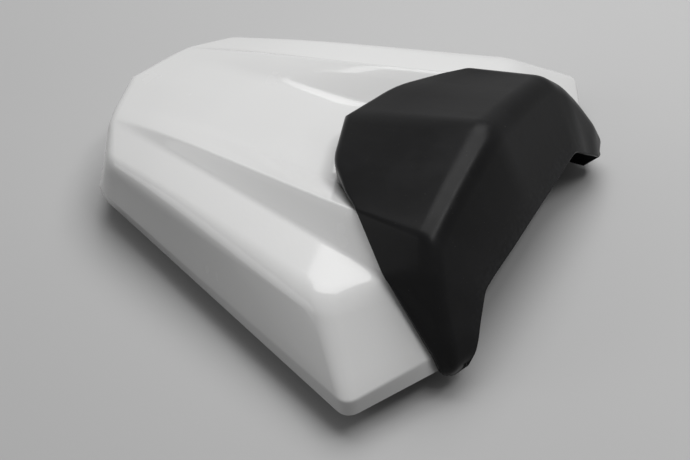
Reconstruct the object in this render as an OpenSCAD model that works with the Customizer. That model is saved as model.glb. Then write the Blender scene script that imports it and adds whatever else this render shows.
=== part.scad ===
// Seat cowl for a motorbike: a painted shell over the pillion place, a black
// hood across its front, and a tray with a striker and dampers underneath.
// X runs across the cowl, -Y is its front, +Z is up.

/* [Shell outline] */
// From the leg line at the front to the rim at the tail
tail_y = 248; // [235:1:260]
// How far the rim's tail corners lie ahead of its middle
tail_sweep = 22; // [14:1:28]
// Half width of the rim at the tail corners
tail_half_w = 58.5; // [52:0.5:64]
// Half width of the rim at the front corners
front_half_w = 131.5; // [122:1:140]
// From the leg line to the rim's front corners
front_corner_y = 27; // [22:0.5:34]
// Half width of the rim where the hood begins
seam_foot_half_w = 88; // [85:0.5:92]
// From the leg line to the rim where the hood begins
seam_foot_y = 2; // [0:0.5:5]
// Height of the rim's upright lip
lip_h = 8.5; // [6:0.5:11]
// Wall of the shell
shell_wall = 3; // [2.4:0.1:3.4]

/* [Shell top] */
// Height of the deck at the tail, above the rim
deck_tail_h = 38; // [34:0.5:41]
// Height of the channel where it meets the hood
deck_front_h = 38.5; // [36:0.5:41]
// How far the tail's top edge lies ahead of its rim
tail_lean = 7; // [5:1:12]
// Height of the shoulders, above the rim
shoulder_h = 34; // [30:0.5:35]
// Half width between the shoulders at the tail
shoulder_tail_half_w = 61.5; // [57:0.5:64]
// Half width between the shoulders at the front corners
shoulder_front_half_w = 100.5; // [95:0.5:106]
// How much the deck rises between tail and front
deck_crown = 4; // [1:0.5:5]
// How much the shoulders rise between tail and front
shoulder_crown = 3; // [0:0.5:5]

/* [Ridges] */
// Half width of the channel between the ridges at the hood
channel_half_w = 28; // [25:0.5:31]
// Height of a ridge's inner edge above the channel at the hood
ridge_inner_rise = 9.5; // [6:0.5:11]
// Height of a ridge's outer edge above the channel at the hood
ridge_outer_rise = 14.5; // [11:0.5:16]
// Half width between the ridges' inner edges at the hood
ridge_inner_half_w = 47.5; // [43:0.5:49]
// Half width between the ridges' outer edges at the hood
ridge_outer_half_w = 57; // [53:0.5:59]

/* [Hood] */
// Height of the hood's peak, above the rim
peak_h = 75.5; // [71:0.5:80]
// From the leg line to the hood's peak
peak_y = 15.5; // [12:0.5:19]
// Height of the hood's rear edge on the centre line, above the rim
hood_rear_h = 55.5; // [53:0.5:58]
// Half width of the hood at the elbows of its fold
elbow_half_w = 64.5; // [62:0.5:67]
// Height of the elbows, above the rim
elbow_h = 58.5; // [56:0.5:61]
// Height of the arch under the hood, above the rim
arch_h = 24; // [20:0.5:28]
// Half width of the arch at its knees
knee_half_w = 53; // [49:0.5:56]
// Half width of the hood at its leg tips
leg_half_w = 82; // [79:0.5:83]
// How far the legs reach below the rim
leg_drop = 9; // [8:0.5:11]
// How far the front face leans ahead of the leg line
face_lean = 10; // [8:0.5:12]
// Wall of the hood
hood_wall = 2.7; // [2.2:0.1:3]
// Width of the shell's flange under the hood's edge
lap_w = 14; // [12:0.5:16]
// How far that flange is stepped down
lap_step = 1.5; // [1:0.1:2]

/* [Tray] */
// Thickness of the tray's plate
tray_t = 3; // [2.5:0.1:4]
// Height of the tray's underside, above the rim
tray_z = 2; // [1:0.5:3]
// From the leg line to the tray's front edge
tray_front_y = 50; // [44:1:60]
// Height of the tray's ribs
rib_h = 5; // [3:0.5:8]
// Radius of the shell's screw bosses
boss_r = 4; // [3.6:0.1:5]
// Height of the dampers below the rim
foot_drop = 12.5; // [12:0.5:16]

/* [Striker and screws] */
// Radius of the striker's rod
rod_r = 3; // [2.5:0.1:3.5]
// Distance between the striker's two legs
striker_w = 26; // [22:1:32]
// Radius of the screws' shanks
screw_r = 2; // [1.8:0.1:2.2]
// Radius of the screws' heads
head_r = 4; // [3.6:0.1:4.4]
// Clearance between pieces that seat on each other
seat_gap = 0.2; // [0.1:0.05:0.3]

/* [Hidden] */
$fn = 48;

tail_corner_y = tail_y - tail_sweep;
tip_lean = face_lean + 0.3;
front_reach = tip_lean - 0.22;
mid_y = (tail_y - front_reach) / 2;

// Vector helpers
function unit(v) = v / norm(v);
function lerp(a, b, t) = a + (b - a) * t;
function flip(p) = [-p.x, p.y, p.z];

// A rounded corner at b: a curve of n steps that starts and ends d from it
function corner(a, b, c, d, n) =
    let (p = b + unit(a - b) * min(d, 0.45 * norm(a - b)), q = b + unit(c - b) * min(d, 0.45 * norm(c - b)))
    n == 0 ? [b] : [for (i = [0:n]) let (t = i / n) p * (1 - t) ^ 2 + b * 2 * t * (1 - t) + q * t ^ 2];

// A line of points with each inner corner rounded by its own setback
function soften(pts, d, n) = concat([pts[0]],
    [for (i = [1:len(pts) - 2]) each corner(pts[i - 1], pts[i], pts[i + 1], d[i], n[i])],
    [pts[len(pts) - 1]]);

// A surface from a net of rows: rounded first along the cowl, then across it
function surface_half(net, row_d, row_n, col_d, col_n) =
    let (cols = [for (k = [0:len(net[0]) - 1])
        soften([for (r = [0:len(net) - 1]) net[r][k]], [for (r = [0:len(net) - 1]) row_d[r][k]], row_n)])
    [for (m = [0:len(cols[0]) - 1]) soften([for (c = cols) c[m]], col_d, col_n)];

// Both halves of a surface, from the -X side to the +X side
function both_halves(half) = [for (row = half)
    concat([for (j = [len(row) - 1:-1:1]) flip(row[j])], row)];

// A point of a net between its rows and columns
function net_point(net, r, k) =
    let (r0 = floor(r), k0 = floor(k), u = r - r0, v = k - k0)
    lerp(lerp(net[r0][k0], net[r0][k0 + 1], v), lerp(net[r0 + 1][k0], net[r0 + 1][k0 + 1], v), u);

// The outward direction at a grid point, from its neighbours
function normal_at(g, m, j) =
    let (m0 = max(m - 1, 0), m1 = min(m + 1, len(g) - 1), j0 = max(j - 1, 0), j1 = min(j + 1, len(g[0]) - 1))
    unit(cross(g[m1][j] - g[m0][j], g[m][j1] - g[m][j0]));

// A wall of even thickness behind a grid of points. Rim points stay level, or
// else the side edges borrow the direction of the third column in.
module wall(g, t, level_rim = false) {
    rows = len(g);
    cols = len(g[0]);
    middle = (cols - 1) / 2;
    inner = [for (m = [0:rows - 1]) [for (j = [0:cols - 1])
        let (near = level_rim ? j : min(max(j, 2), cols - 3), p = g[m][j] - normal_at(g, m, near) * t,
            on_rim = level_rim && (m == 0 || j == 0 || j == cols - 1))
        on_rim ? [p.x, p.y, g[m][j].z] : p]];
    pts = concat([for (row = g) each row], [for (row = inner) each row]);
    n = rows * cols;
    function at(m, j) = m * cols + j;
    outer_faces = [for (m = [0:rows - 2]) for (j = [0:cols - 2])
        each j < middle
            ? [[at(m, j), at(m, j + 1), at(m + 1, j)], [at(m, j + 1), at(m + 1, j + 1), at(m + 1, j)]]
            : [[at(m, j), at(m, j + 1), at(m + 1, j + 1)], [at(m, j), at(m + 1, j + 1), at(m + 1, j)]]];
    inner_faces = [for (f = outer_faces) [f[2] + n, f[1] + n, f[0] + n]];
    function strip(a, b) = [[a, b, b + n], [a, b + n, a + n]];
    edges = concat(
        [for (j = [0:cols - 2]) each strip(at(0, j + 1), at(0, j))],
        [for (j = [0:cols - 2]) each strip(at(rows - 1, j), at(rows - 1, j + 1))],
        [for (m = [0:rows - 2]) each strip(at(m, 0), at(m + 1, 0))],
        [for (m = [0:rows - 2]) each strip(at(m + 1, cols - 1), at(m, cols - 1))]);
    polyhedron(pts, concat(outer_faces, inner_faces, edges));
}

// Shell net. Columns: 0 centre line, 1 to 4 the ridge's foot, two edges and
// outer foot, 5 the shoulder, 6 the lip's crease, 7 the rim.
tail_share = [0, 0.4, 0.48, 0.54, 0.6, 0.86, 0.95, 1];
function tail_arc(u, half_w, y, z) = [half_w * u, y - tail_sweep * u ^ 2, z];
rim_row = [for (u = tail_share) tail_arc(u, tail_half_w, tail_y, 0)];
crease_row = concat([for (k = [0:6]) tail_arc(tail_share[k], tail_half_w + 3, tail_y - 2, lip_h)],
    [[tail_half_w + 0.8, tail_corner_y - 3, 0]]);
tail_row = concat([for (k = [0:4]) tail_arc(tail_share[k], shoulder_tail_half_w, tail_y - tail_lean,
        deck_tail_h - 2 * tail_share[k] ^ 2)],
    [[shoulder_tail_half_w, tail_corner_y - 14, shoulder_h - 1],
     [tail_half_w + 4.5, tail_corner_y - 8, lip_h],
     [tail_half_w + 2.5, tail_corner_y - 6, 0]]);
seam_row = [[0, 100, deck_front_h],
    [channel_half_w, 89, deck_front_h - 1],
    [ridge_inner_half_w, 68, deck_front_h + ridge_inner_rise],
    [ridge_outer_half_w, 56.5, deck_front_h + ridge_outer_rise],
    [75.8, 32.2, deck_front_h - 1],
    [77, 30.4, shoulder_h + 0.7],
    [seam_foot_half_w - 0.5, seam_foot_y + 3, lip_h - 0.5],
    [seam_foot_half_w, seam_foot_y, 0]];
front_row = concat([for (k = [0:4]) lerp(tail_row[k], seam_row[k], 0.86)],
    [[shoulder_front_half_w, 55.5, shoulder_h + 0.5],
     [front_half_w - 1.5, front_corner_y + 0.5, lip_h],
     [front_half_w, front_corner_y, 0]]);
crown = [[0, 0, deck_crown], [-2.5, 0, deck_crown], [-2, 0, deck_crown - 1.5], [-1, 0, deck_crown - 2],
    [-1, 0, deck_crown - 1.5], [0, 0, shoulder_crown], [0, 0, 0], [0, 0, 0]];
mid_row = [for (k = [0:7]) lerp(tail_row[k], front_row[k], 0.35) + crown[k]];
// The flange under the hood runs on from the seam, stepped down into the shell
hollow_centre = [0, 70, -20];
lap_share = [1, 1, 0.85, 0.6, 0.6, 0.6, 0.25, 0.2];
function lap_point(k, w, step) = seam_row[k] + unit(seam_row[k] - front_row[k]) * w
    + unit(hollow_centre - seam_row[k]) * step;
lap_row_near = [for (k = [0:7]) lap_point(k, min(3, lap_w * lap_share[k] / 2), lap_step)];
lap_row_far = [for (k = [0:7]) lap_point(k, lap_w * lap_share[k], lap_step)];
shell_net = [rim_row, crease_row, tail_row, mid_row, front_row, seam_row, lap_row_near, lap_row_far];
even = [for (k = [0:8]) 0];
shell_row_d = [even, [for (k = [0:7]) 1], [6, 6, 6, 6, 6, 9, 5, 5], [for (k = [0:7]) 90],
    [5, 5, 5, 5, 8, 14, 9, 8], even, even, even];
shell_row_n = [0, 1, 5, 6, 5, 0, 0, 0];
shell_col_d = [0, 5, 1, 1.5, 3, 9.5, 1, 0];
shell_col_n = [0, 2, 1, 1, 2, 5, 1, 0];
shell_half = surface_half(shell_net, shell_row_d, shell_row_n, shell_col_d, shell_col_n);
shell_grid = both_halves(shell_half);

// Hood net. Columns run from the centre line to the leg tips, in step with
// the seam. Rows: 0 the edge's foot, 1 the rear edge, 2 the fold, 3 the arch.
edge_overlap = 1.2;
function seam_out(k) = unit(cross(seam_row[k] - front_row[k],
    k == 0 ? [1, 0, 0] : seam_row[min(k + 1, 7)] - seam_row[k - 1]));
function proud(k) = seam_row[k] + seam_out(k) * (hood_wall + seat_gap * (k > 5 ? 4 : 2));
hood_foot = concat([for (k = [0:2]) seam_row[k] + seam_out(k) * seat_gap],
    [for (k = [3:7]) proud(k) + unit(front_row[k] - seam_row[k]) * edge_overlap],
    [proud(7) + [-2.8, 0.3, -5]]);
hood_edge = concat([[0, 98, hood_rear_h], [31, 87, hood_rear_h - 0.3], [49.5, 69.5, hood_rear_h - 0.4]],
    [for (k = [3:7]) proud(k)],
    [proud(7) + [-4.3, 0, -6]]);
hood_fold = [[0, peak_y, peak_h], [elbow_half_w * 0.5, peak_y, lerp(elbow_h, peak_h, 0.53)],
    [elbow_half_w * 0.82, peak_y - 0.5, lerp(elbow_h, peak_h, 0.2)],
    [elbow_half_w, peak_y - 1, elbow_h], [72.8, 10, 48.8], [80.5, 4.6, 34.5], [84.5, -2.2, 18.5], [88.8, -5.8, 3.5],
    [leg_half_w, -1.3, -leg_drop]];
hood_arch = [[0, -face_lean + 4, arch_h + 0.5], [knee_half_w * 0.45, -face_lean + 4, arch_h + 0.3],
    [knee_half_w * 0.8, -face_lean + 4.5, arch_h + 0.1], [knee_half_w, -face_lean + 4.5, arch_h - 0.5],
    [knee_half_w + 6, -face_lean + 3, arch_h - 5], [knee_half_w + 11, -face_lean + 2, arch_h - 10],
    [70, -tip_lean + 0.5, 9.3], [74, -tip_lean, 5.3], [leg_half_w - 2, -tip_lean + 1.5, 0.5]];
hood_net = [hood_foot, hood_edge, hood_fold, hood_arch];
hood_row_d = [even, [4, 4, 3, 1, 1, 1, 1, 1, 1], [12, 10, 9, 9, 9, 8, 5, 4, 3], even];
hood_row_n = [0, 2, 6, 0];
hood_col_d = [0, 8, 3, 3, 4, 8, 3, 3, 0];
hood_col_n = [0, 3, 2, 2, 2, 3, 1, 1, 0];
hood_half = surface_half(hood_net, hood_row_d, hood_row_n, hood_col_d, hood_col_n);
hood_grid = both_halves(hood_half);

// Where the tray is screwed to the shell: places on the shell's own surface
tray_top = tray_z + tray_t;
tray_fixings = [for (rc = [[8.4, 0.6], [12.5, 10.5], [15.6, 10.5]]) net_point(shell_half, rc[0], rc[1])];
boss_pilot_r = screw_r + 0.05;
screw_hole_r = screw_r + 0.3;
tray_screw_l = 16;
washer_t = 1;

// Where the hood is screwed to the shell's flange
hood_fixing = lerp(lap_point(0, lap_w * 0.55, lap_step), lap_point(1, lap_w * 0.55, lap_step), 0.8);
hood_boss_top = net_point(hood_net, 1.12, 0.75).z - hood_wall / 2;
hood_screw_l = 12;

module each_side() {
    children();
    mirror([1, 0, 0]) children();
}

// The model's own place: the middle of its footprint, standing on its feet
module place() translate([0, -mid_y, foot_drop]) children();

module pan_screw(l) {
    cylinder(h = l, r = screw_r);
    difference() {
        translate([0, 0, -2.4]) cylinder(h = 2.4, r1 = head_r - 0.8, r2 = head_r);
        translate([0, 0, -2.5]) cylinder(h = 1.4, r = 1.5, $fn = 6);
    }
}

module washer(r_in, r_out, t) difference() {
    cylinder(h = t, r = r_out);
    translate([0, 0, -0.1]) cylinder(h = t + 0.2, r = r_in);
}

module cowl_shell() color("whitesmoke") place() difference() {
    union() {
        wall(shell_grid, shell_wall, level_rim = true);
        each_side() for (p = tray_fixings)
            translate([p.x, p.y, tray_top + seat_gap]) cylinder(h = p.z - shell_wall / 2 - tray_top - seat_gap, r = boss_r);
    }
    each_side() for (p = tray_fixings)
        translate([p.x, p.y, tray_top]) cylinder(h = tray_screw_l, r = boss_pilot_r);
    each_side() translate([hood_fixing.x, hood_fixing.y, hood_fixing.z - 8]) cylinder(h = 14, r = screw_hole_r);
}

heel = [[-8.2, 0.4], [0.3, -leg_drop], [8.2, -leg_drop], [9, -2.5], [-1, 3], [-6, 9]];
heel_x = 78.6;
heel_t = 2.2;

module front_hood() color("#202022") place() difference() {
    union() {
        wall(hood_grid, hood_wall);
        each_side() translate([hood_fixing.x, hood_fixing.y, hood_fixing.z + 2 * seat_gap])
            cylinder(h = hood_boss_top - hood_fixing.z - 2 * seat_gap, r = boss_r);
        // Heel inside each leg, behind the shell's lip
        each_side() translate([heel_x, 0, 0]) rotate([90, 0, 90]) linear_extrude(heel_t) polygon(heel);
    }
    each_side() translate([hood_fixing.x, hood_fixing.y, hood_fixing.z - 1]) cylinder(h = hood_screw_l, r = boss_pilot_r);
}

// The tray's outline follows the inside of the rim
tray_inset = shell_wall + 0.5;
tray_outline = let (half = soften([[0, tail_y - tray_inset - 1, 0],
        [tail_half_w * 0.6, tail_y - tray_inset - 1 - tail_sweep * 0.36, 0],
        [tail_half_w - tray_inset, tail_corner_y - tray_inset, 0],
        [front_half_w - tray_inset - 4.7, front_corner_y + tray_inset + 6, 0],
        [front_half_w - 14, front_corner_y + 1, 0],
        [seam_foot_half_w + 6, front_corner_y - 10, 0],
        [seam_foot_half_w - 6, tray_front_y - 20, 0],
        [52, tray_front_y, 0], [0, tray_front_y, 0]],
        [0, 12, 6, 6, 6, 5, 8, 10, 0], [0, 3, 3, 2, 2, 2, 3, 3, 0]))
    concat([for (p = half) [p.x, p.y]], [for (i = [len(half) - 2:-1:1]) [-half[i].x, half[i].y]]);
striker_y = 186;
damper_places = [[40, 196], [92, 54]];
tongue_x = 30;
tongue_w = 22;
tongue_l = 22;
damper_hole_r = 4.2;

module base_tray() color("#1b1b1c") place() difference() {
    union() {
        translate([0, 0, tray_z]) linear_extrude(tray_t) polygon(tray_outline);
        // Front tongues that hook under the frame's bracket
        each_side() translate([tongue_x - tongue_w / 2, tray_front_y - tongue_l, tray_z - 3])
            cube([tongue_w, tongue_l + 12, 3]);
        // Ribs on the upper side
        for (y = [90, 130])
            translate([-52, y, tray_top]) cube([104, 2, rib_h]);
        each_side() translate([30, 70, tray_top]) cube([2, 90, rib_h]);
        // Pad under the striker
        translate([-striker_w / 2 - 9, striker_y - 11, tray_z - 3]) cube([striker_w + 18, 22, 3]);
    }
    each_side() {
        translate([striker_w / 2, striker_y, tray_z - 4]) cylinder(h = tray_t + 8, r = rod_r + 0.3);
        for (d = damper_places) translate([d.x, d.y, tray_z - 1]) cylinder(h = tray_t + 2, r = damper_hole_r);
        for (p = tray_fixings) translate([p.x, p.y, tray_z - 1]) cylinder(h = tray_t + 2, r = screw_hole_r);
    }
}

striker_plate_t = 2.5;
striker_low_z = -foot_drop + 2;
striker_bend_r = 6;
striker_top_z = tray_top + striker_plate_t + 9;

module striker_loop() color("silver") place() translate([0, striker_y, 0]) {
    bend_z = striker_low_z + rod_r + striker_bend_r;
    each_side() {
        translate([striker_w / 2, 0, bend_z]) cylinder(h = striker_top_z - bend_z, r = rod_r);
        translate([striker_w / 2 - striker_bend_r, 0, bend_z]) rotate([90, 0, 0])
            rotate_extrude(angle = -90) translate([striker_bend_r, 0]) circle(r = rod_r);
    }
    translate([-striker_w / 2 + striker_bend_r, 0, bend_z - striker_bend_r]) rotate([0, 90, 0])
        cylinder(h = striker_w - 2 * striker_bend_r, r = rod_r);
}

module striker_plate() color("silver") place() translate([0, striker_y, tray_top]) difference() {
    translate([-striker_w / 2 - 8, -9, 0]) cube([striker_w + 16, 18, striker_plate_t]);
    each_side() translate([striker_w / 2, 0, -1]) cylinder(h = striker_plate_t + 2, r = rod_r + 0.3);
}

striker_washer_z = tray_top + striker_plate_t;
module striker_washers() color("silver") place() each_side()
    translate([striker_w / 2, striker_y, striker_washer_z]) washer(rod_r + 0.2, rod_r * 2, washer_t);

module striker_nuts() color("silver") place() each_side()
    translate([striker_w / 2, striker_y, striker_washer_z + washer_t]) difference() {
        cylinder(h = 5, r = rod_r * 1.9, $fn = 6);
        translate([0, 0, -1]) cylinder(h = 7, r = rod_r + 0.03);
    }

// A rubber damper: a foot below the tray, a neck through it and a lip above
module damper() rotate_extrude() polygon([[0, -foot_drop], [7, -foot_drop], [8, -foot_drop + 1],
    [9, tray_z - 2], [9, tray_z], [damper_hole_r - 0.1, tray_z], [damper_hole_r - 0.1, tray_top],
    [damper_hole_r + 1.6, tray_top + 0.05], [damper_hole_r - 0.4, tray_top + 4], [0, tray_top + 4]]);

module front_dampers() color("#151515") place() each_side() translate(damper_places[1]) damper();

module rear_dampers() color("#151515") place() each_side() translate(damper_places[0]) damper();

module tray_screws() color("dimgray") place() each_side() for (p = tray_fixings)
    translate([p.x, p.y, tray_z - washer_t]) pan_screw(tray_screw_l - 1);

module tray_washers() color("dimgray") place() each_side() for (p = tray_fixings)
    translate([p.x, p.y, tray_z - washer_t]) washer(screw_r + 0.2, head_r + 1, washer_t);

hood_washer_z = hood_fixing.z - shell_wall - 1.4;
module hood_screws() color("dimgray") place() each_side()
    translate([hood_fixing.x, hood_fixing.y, hood_washer_z]) pan_screw(hood_screw_l);

module hood_washers() color("dimgray") place() each_side()
    translate([hood_fixing.x, hood_fixing.y, hood_washer_z]) washer(screw_r + 0.2, head_r + 0.5, washer_t);

cowl_shell();
front_hood();
base_tray();
striker_loop();
striker_plate();
striker_washers();
striker_nuts();
front_dampers();
rear_dampers();
tray_screws();
tray_washers();
hood_screws();
hood_washers();
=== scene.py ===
"""Seat cowl for a motorbike: its painted shell, black hood, tray, striker, dampers and screws."""

import math

import bpy
import numpy as np
from mathutils import Matrix, Vector


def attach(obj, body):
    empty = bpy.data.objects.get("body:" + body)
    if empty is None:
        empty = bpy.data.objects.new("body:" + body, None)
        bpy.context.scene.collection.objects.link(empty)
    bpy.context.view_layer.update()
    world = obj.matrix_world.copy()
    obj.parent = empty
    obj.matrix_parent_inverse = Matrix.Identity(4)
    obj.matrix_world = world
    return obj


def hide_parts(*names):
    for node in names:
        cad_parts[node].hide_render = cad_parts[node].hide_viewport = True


bl_info = {
    "name": "Seat cowl",
    "version": (1, 0, 0),
    "blender": (4, 5, 0),
    "location": "View3D > Sidebar > Seat cowl",
    "description": "Builds the pieces of a motorbike's seat cowl and a stage to see it on",
    "category": "Add Mesh",
}

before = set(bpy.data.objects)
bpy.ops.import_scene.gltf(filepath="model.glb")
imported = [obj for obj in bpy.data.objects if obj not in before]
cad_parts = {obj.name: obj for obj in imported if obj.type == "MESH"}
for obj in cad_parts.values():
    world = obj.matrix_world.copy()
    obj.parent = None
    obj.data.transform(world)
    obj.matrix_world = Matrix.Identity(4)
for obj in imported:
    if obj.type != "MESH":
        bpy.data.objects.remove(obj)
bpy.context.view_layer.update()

# Sizes in millimetres, from the leg line at the front and the rim's plane
TAIL_Y, TAIL_SWEEP, TAIL_HALF_W = 248, 22, 58.5
FRONT_HALF_W, FRONT_CORNER_Y = 131.5, 27
SEAM_FOOT_HALF_W, SEAM_FOOT_Y = 88, 2
LIP_H, SHELL_WALL, HOOD_WALL = 8.5, 3, 2.7
DECK_TAIL_H, DECK_FRONT_H, DECK_CROWN = 38, 38.5, 4
TAIL_LEAN, SHOULDER_H, SHOULDER_CROWN = 7, 34, 3
SHOULDER_TAIL_HALF_W, SHOULDER_FRONT_HALF_W = 61.5, 100.5
CHANNEL_HALF_W = 28
RIDGE_INNER_RISE, RIDGE_OUTER_RISE = 9.5, 14.5
RIDGE_INNER_HALF_W, RIDGE_OUTER_HALF_W = 47.5, 57
PEAK_H, PEAK_Y, HOOD_REAR_H = 75.5, 15.5, 55.5
ELBOW_HALF_W, ELBOW_H, ARCH_H, KNEE_HALF_W = 64.5, 58.5, 24, 53
LEG_HALF_W, LEG_DROP, FACE_LEAN = 82, 9, 10
LAP_W, LAP_STEP, SEAT_GAP, EDGE_OVERLAP = 14, 1.5, 0.2, 1.2
TRAY_Z, TRAY_T, FOOT_DROP = 2, 3, 12.5
TAIL_CORNER_Y = TAIL_Y - TAIL_SWEEP
TIP_LEAN = FACE_LEAN + 0.3
# The frame's origin stands under the middle of the cowl's length
MID_Y = (TAIL_Y - TIP_LEAN + 0.22) / 2
TRAY_TOP = TRAY_Z + TRAY_T
PILOT_R, TRAY_PILOT_DEPTH, HOOD_PILOT_DEPTH = 2.05, 15.5 - SEAT_GAP, 11
TRAY_SCREW_L, HOOD_SCREW_L, TRAY_WASHER_RIM, HOOD_WASHER_RIM = 15, 12, 1, 0.5
WASHER_T, WASHER_PLAY, HOOD_WASHER_DROP = 1, 0.2, 1.4
NUT_H, NUT_SHARE, THREAD_PLAY = 5, 1.9, 0.03
STRIKER_Y, STRIKER_W, STRIKER_BEND, PLATE_T = 186, 26, 6, 2.5
STRIKER_LOW_Z, STRIKER_TOP_Z = -FOOT_DROP + 2, TRAY_TOP + PLATE_T + 9
DAMPER_PLACES = {"front_dampers": (92, 54), "rear_dampers": (40, 196)}
DAMPER_R, DAMPER_FOOT_R, DAMPER_NECK_R, DAMPER_LIP, DAMPER_HEAD_H = 9, 7, 4.1, 1.7, 4

# Shares of a straight that one rounding may take, and of a grid's step that a rounded edge may take
CORNER_SHARE, EDGE_SHARE = 0.45, 0.4
# Grid lines over which the wear at a rim fades
RIM_FADE = 3.0
# Sides of the lathed shapes
BOSS_SIDES, DAMPER_SIDES, FLOOR_SIDES = 32, 56, 64
FLAT = (0,) * 9


def to_frame(points):
    """Turns work points in millimetres into metres in the part's frame."""
    return (np.asarray(points, float) + (0, -MID_Y, FOOT_DROP)) / 1000


def point(*values):
    """A point or a direction, as an array."""
    return np.array(values, float)


def unit(v):
    """A direction of length 1."""
    return v / np.linalg.norm(v)


def lerp(a, b, t):
    """The value a share t of the way from a to b."""
    return a + (b - a) * t


def corner(a, b, c, setback, steps):
    """A rounded corner at b, as a curve that starts and ends a setback from it."""
    if steps == 0:
        return [b]
    p = b + unit(a - b) * min(setback, CORNER_SHARE * np.linalg.norm(a - b))
    q = b + unit(c - b) * min(setback, CORNER_SHARE * np.linalg.norm(c - b))
    return [p * (1 - t) ** 2 + b * 2 * t * (1 - t) + q * t * t for t in np.linspace(0, 1, steps + 1)]


def soften(points, setbacks, steps, fine=1, spans=1):
    """A line of points with its inner corners rounded and its straights divided."""
    runs = [[points[0]]]
    for i in range(1, len(points) - 1):
        runs.append(corner(points[i - 1], points[i], points[i + 1], setbacks[i], steps[i] * fine))
    runs.append([points[-1]])
    line = list(runs[0])
    for run in runs[1:]:
        start = line[-1]
        line += [lerp(start, run[0], s / spans) for s in range(1, spans)] + list(run)
    return line


def surface_half(net, row_setbacks, row_steps, col_setbacks, col_steps, fine=1, spans=1):
    """Half of a surface from a net of rows, rounded along the cowl and then across it."""
    cols = [
        soften([row[k] for row in net], [s[k] for s in row_setbacks], row_steps, fine, spans)
        for k in range(len(net[0]))
    ]
    rows = ([c[m] for c in cols] for m in range(len(cols[0])))
    return np.array([soften(row, col_setbacks, col_steps, fine, spans) for row in rows])


def both_halves(half):
    """The whole surface, with the half mirrored to the other side."""
    mirrored = half[:, :0:-1] * (-1, 1, 1)
    return np.concatenate([mirrored, half], axis=1)


def net_point(net, r, k):
    """A point of a net between its rows and columns."""
    r0, k0 = int(r), int(k)
    low = lerp(net[r0][k0], net[r0][k0 + 1], k - k0)
    high = lerp(net[r0 + 1][k0], net[r0 + 1][k0 + 1], k - k0)
    return lerp(low, high, r - r0)


# Columns of the shell's net: the centre line, the ridge's inner foot, its two
# edges and outer foot, the shoulder, the lip's crease and the rim
TAIL_SHARE = (0, 0.4, 0.48, 0.54, 0.6, 0.86, 0.95, 1)


def tail_arc(u, half_w, y, z):
    """A point of the tail's swept curve, a share u of the way to its corner."""
    return point(half_w * u, y - TAIL_SWEEP * u * u, z)


RIM_ROW = [tail_arc(u, TAIL_HALF_W, TAIL_Y, 0) for u in TAIL_SHARE]
CREASE_ROW = [tail_arc(u, TAIL_HALF_W + 3, TAIL_Y - 2, LIP_H) for u in TAIL_SHARE[:7]]
CREASE_ROW.append(point(TAIL_HALF_W + 0.8, TAIL_CORNER_Y - 3, 0))
TAIL_ROW = [
    tail_arc(u, SHOULDER_TAIL_HALF_W, TAIL_Y - TAIL_LEAN, DECK_TAIL_H - 2 * u * u)
    for u in TAIL_SHARE[:5]
] + [
    point(SHOULDER_TAIL_HALF_W, TAIL_CORNER_Y - 14, SHOULDER_H - 1),
    point(TAIL_HALF_W + 4.5, TAIL_CORNER_Y - 8, LIP_H),
    point(TAIL_HALF_W + 2.5, TAIL_CORNER_Y - 6, 0),
]
SEAM_ROW = [
    point(0, 100, DECK_FRONT_H),
    point(CHANNEL_HALF_W, 89, DECK_FRONT_H - 1),
    point(RIDGE_INNER_HALF_W, 68, DECK_FRONT_H + RIDGE_INNER_RISE),
    point(RIDGE_OUTER_HALF_W, 56.5, DECK_FRONT_H + RIDGE_OUTER_RISE),
    point(75.8, 32.2, DECK_FRONT_H - 1),
    point(77, 30.4, SHOULDER_H + 0.7),
    point(SEAM_FOOT_HALF_W - 0.5, SEAM_FOOT_Y + 3, LIP_H - 0.5),
    point(SEAM_FOOT_HALF_W, SEAM_FOOT_Y, 0),
]
FRONT_ROW = [lerp(TAIL_ROW[k], SEAM_ROW[k], 0.86) for k in range(5)] + [
    point(SHOULDER_FRONT_HALF_W, 55.5, SHOULDER_H + 0.5),
    point(FRONT_HALF_W - 1.5, FRONT_CORNER_Y + 0.5, LIP_H),
    point(FRONT_HALF_W, FRONT_CORNER_Y, 0),
]
# How far each column is lifted between the tail and the front
CROWN = (
    (0, 0, DECK_CROWN),
    (-2.5, 0, DECK_CROWN),
    (-2, 0, DECK_CROWN - 1.5),
    (-1, 0, DECK_CROWN - 2),
    (-1, 0, DECK_CROWN - 1.5),
    (0, 0, SHOULDER_CROWN),
    (0, 0, 0),
    (0, 0, 0),
)
MID_ROW = [lerp(TAIL_ROW[k], FRONT_ROW[k], 0.35) + point(*CROWN[k]) for k in range(8)]
# Each column's share of the flange's width
LAP_SHARE = (1, 1, 0.85, 0.6, 0.6, 0.6, 0.25, 0.2)


def lap_point(k, width):
    """A point of the flange that the hood's edge sits on."""
    inward = unit(SEAM_ROW[k] - FRONT_ROW[k])
    return SEAM_ROW[k] + inward * width + unit(point(0, 70, -20) - SEAM_ROW[k]) * LAP_STEP


SHELL_NET = [RIM_ROW, CREASE_ROW, TAIL_ROW, MID_ROW, FRONT_ROW, SEAM_ROW]
SHELL_NET.append([lap_point(k, min(3, LAP_W * LAP_SHARE[k] / 2)) for k in range(8)])
SHELL_NET.append([lap_point(k, LAP_W * LAP_SHARE[k]) for k in range(8)])
# The painted tail's top edge is cut back at its corners, as on the real one
TAIL_CUT = (0, 4.5, 5, 5.3, 5.5, 0, 0, 0)
CUT_TAIL_ROW = [TAIL_ROW[k] - (0, TAIL_CUT[k], 0) for k in range(8)]
PAINTED_NET = SHELL_NET[:2] + [CUT_TAIL_ROW] + SHELL_NET[3:]
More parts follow.
